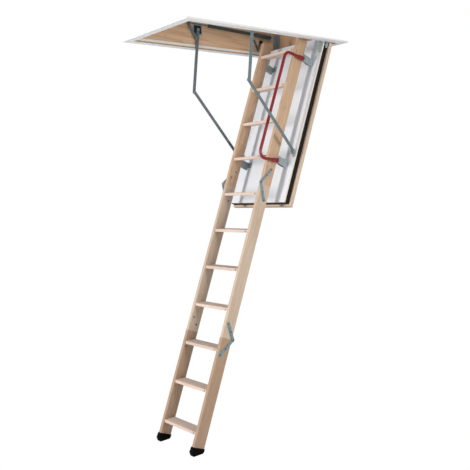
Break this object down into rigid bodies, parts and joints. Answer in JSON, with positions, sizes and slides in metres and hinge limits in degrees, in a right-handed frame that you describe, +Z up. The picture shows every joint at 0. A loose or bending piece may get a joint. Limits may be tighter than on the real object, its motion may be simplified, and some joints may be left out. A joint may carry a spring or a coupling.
{
  "type": "folding attic ladder",
  "caption": "Timber folding ladder hung on an insulated ceiling hatch in a lined opening, with steel opening arms, springs, hinge straps, handrail and rubber feet",
  "frame": {"origin": "centre of the ceiling opening, in the plane of the ceiling, where the top face of the white trim meets it", "axes": "+Z up, +X toward the hatch's hinge end, +Y to the left of a climber who faces the treads"},
  "size_m": [1.5065, 0.764, 3.02],
  "materials": {
    "lining_boards": "satin",
    "white_trim": "satin",
    "seal": "matte",
    "screws": "satin",
    "zinc_fittings": "satin",
    "black_plastic": "matte",
    "black_rubber": "matte",
    "hatch_board": "satin",
    "hatch_core": "matte",
    "hatch_edge": "satin",
    "hatch_skin": "satin",
    "straps": "satin",
    "handrail": "gloss",
    "arms": "satin",
    "springs": "satin",
    "pull_rods": "satin",
    "feet": "matte",
    "top_stiles": "satin",
    "lower_stiles": "satin",
    "treads": "satin"
  },
  "bodies": {
    "frame": {"side_board_left": "lining_boards", "side_board_right": "lining_boards", "hinge_end_board": "lining_boards", "free_end_board": "lining_boards", "ceiling_trim": "white_trim", "frame_seal": "seal", "board_screws": "screws", "hatch_hinge_brackets": "zinc_fittings", "arm_pivots": "zinc_fittings", "arm_bearings": "black_plastic", "spring_anchors": "zinc_fittings", "stop_brackets": "zinc_fittings", "stop_rubbers": "black_rubber"},
    "hatch": {"hatch_board": "hatch_board", "hatch_core": "hatch_core", "hatch_edge": "hatch_edge", "hatch_skin": "hatch_skin", "hatch_hinge_leaves": "zinc_fittings", "hatch_arm_brackets": "zinc_fittings", "upper_standoffs": "zinc_fittings", "lower_standoffs": "zinc_fittings", "top_stile_left": "top_stiles", "top_stile_right": "top_stiles", "tread_08": "treads", "tread_09": "treads", "tread_10": "treads", "tread_11": "treads", "top_tread_screws": "screws", "top_straps": "straps", "handrail": "handrail", "handrail_saddles": "zinc_fittings"},
    "middle_section": {"middle_stile_left": "lower_stiles", "middle_stile_right": "lower_stiles", "tread_04": "treads", "tread_05": "treads", "tread_06": "treads", "tread_07": "treads", "middle_tread_screws": "screws", "middle_upper_straps": "straps", "middle_lower_straps": "straps"},
    "bottom_section": {"bottom_stile_left": "lower_stiles", "bottom_stile_right": "lower_stiles", "tread_01": "treads", "tread_02": "treads", "tread_03": "treads", "bottom_tread_screws": "screws", "bottom_straps": "straps", "foot_left": "feet", "foot_right": "feet"},
    "upper_arm_left_body": {"upper_arm_left": "arms"},
    "lower_arm_left_body": {"lower_arm_left": "arms"},
    "spring_left_body": {"spring_left": "springs"},
    "pull_rod_left_body": {"pull_rod_left": "pull_rods"},
    "upper_arm_right_body": {"upper_arm_right": "arms"},
    "lower_arm_right_body": {"lower_arm_right": "arms"},
    "spring_right_body": {"spring_right": "springs"},
    "pull_rod_right_body": {"pull_rod_right": "pull_rods"}
  },
  "joints": [
    {"name": "hatch_hinge", "type": "hinge", "parent": "frame", "child": "hatch", "pos_m": [0.638, 0, 0.01], "axis": [0, 1, 0], "range_deg": [0, 40]},
    {"name": "middle_fold", "type": "hinge", "parent": "hatch", "child": "middle_section", "pos_m": [-0.04457, 0, -1.02404], "axis": [0, 1, 0], "range_deg": [0, 180]},
    {"name": "bottom_fold", "type": "hinge", "parent": "middle_section", "child": "bottom_section", "pos_m": [-0.36573, 0, -2.09962], "axis": [0, 1, 0], "range_deg": [-180, 0]},
    {"name": "upper_arm_left_pivot", "type": "hinge", "parent": "frame", "child": "upper_arm_left_body", "pos_m": [-0.131, 0.311, 0.13], "axis": [0, 1, 0], "range_deg": [0, 85.73]},
    {"name": "lower_arm_left_pivot", "type": "hinge", "parent": "hatch", "child": "lower_arm_left_body", "pos_m": [0.205, 0.3044, -0.819], "axis": [0, 1, 0], "range_deg": [-36.76, 0]},
    {"name": "spring_left_swing", "type": "hinge", "parent": "frame", "child": "spring_left_body", "pos_m": [0.607, 0.3, 0.142], "axis": [0, 1, 0], "range_deg": [0, 4.78]},
    {"name": "pull_rod_left_slide", "type": "slide", "parent": "spring_left_body", "child": "pull_rod_left_body", "axis": [0.9995, 0, -0.0326], "range_m": [0, 0.1173]},
    {"name": "upper_arm_right_pivot", "type": "hinge", "parent": "frame", "child": "upper_arm_right_body", "pos_m": [-0.131, -0.311, 0.13], "axis": [0, 1, 0], "range_deg": [0, 85.73]},
    {"name": "lower_arm_right_pivot", "type": "hinge", "parent": "hatch", "child": "lower_arm_right_body", "pos_m": [0.205, -0.3044, -0.819], "axis": [0, 1, 0], "range_deg": [-36.76, 0]},
    {"name": "spring_right_swing", "type": "hinge", "parent": "frame", "child": "spring_right_body", "pos_m": [0.607, -0.3, 0.142], "axis": [0, 1, 0], "range_deg": [0, 4.78]},
    {"name": "pull_rod_right_slide", "type": "slide", "parent": "spring_right_body", "child": "pull_rod_right_body", "axis": [0.9995, 0, -0.0326], "range_m": [0, 0.1173]}
  ],
  "couplings": [
    {"joint": "bottom_fold", "follows": "middle_fold", "ratio": -1},
    {"joint": "upper_arm_left_pivot", "follows": "hatch_hinge", "ratio": 2.1383},
    {"joint": "lower_arm_left_pivot", "follows": "hatch_hinge", "ratio": -0.914},
    {"joint": "spring_left_swing", "follows": "hatch_hinge", "ratio": 0.1145},
    {"joint": "pull_rod_left_slide", "follows": "hatch_hinge", "m_per_rad": 0.16745},
    {"joint": "upper_arm_right_pivot", "follows": "hatch_hinge", "ratio": 2.1383},
    {"joint": "lower_arm_right_pivot", "follows": "hatch_hinge", "ratio": -0.914},
    {"joint": "spring_right_swing", "follows": "hatch_hinge", "ratio": 0.1145},
    {"joint": "pull_rod_right_slide", "follows": "hatch_hinge", "m_per_rad": 0.16745}
  ]
}
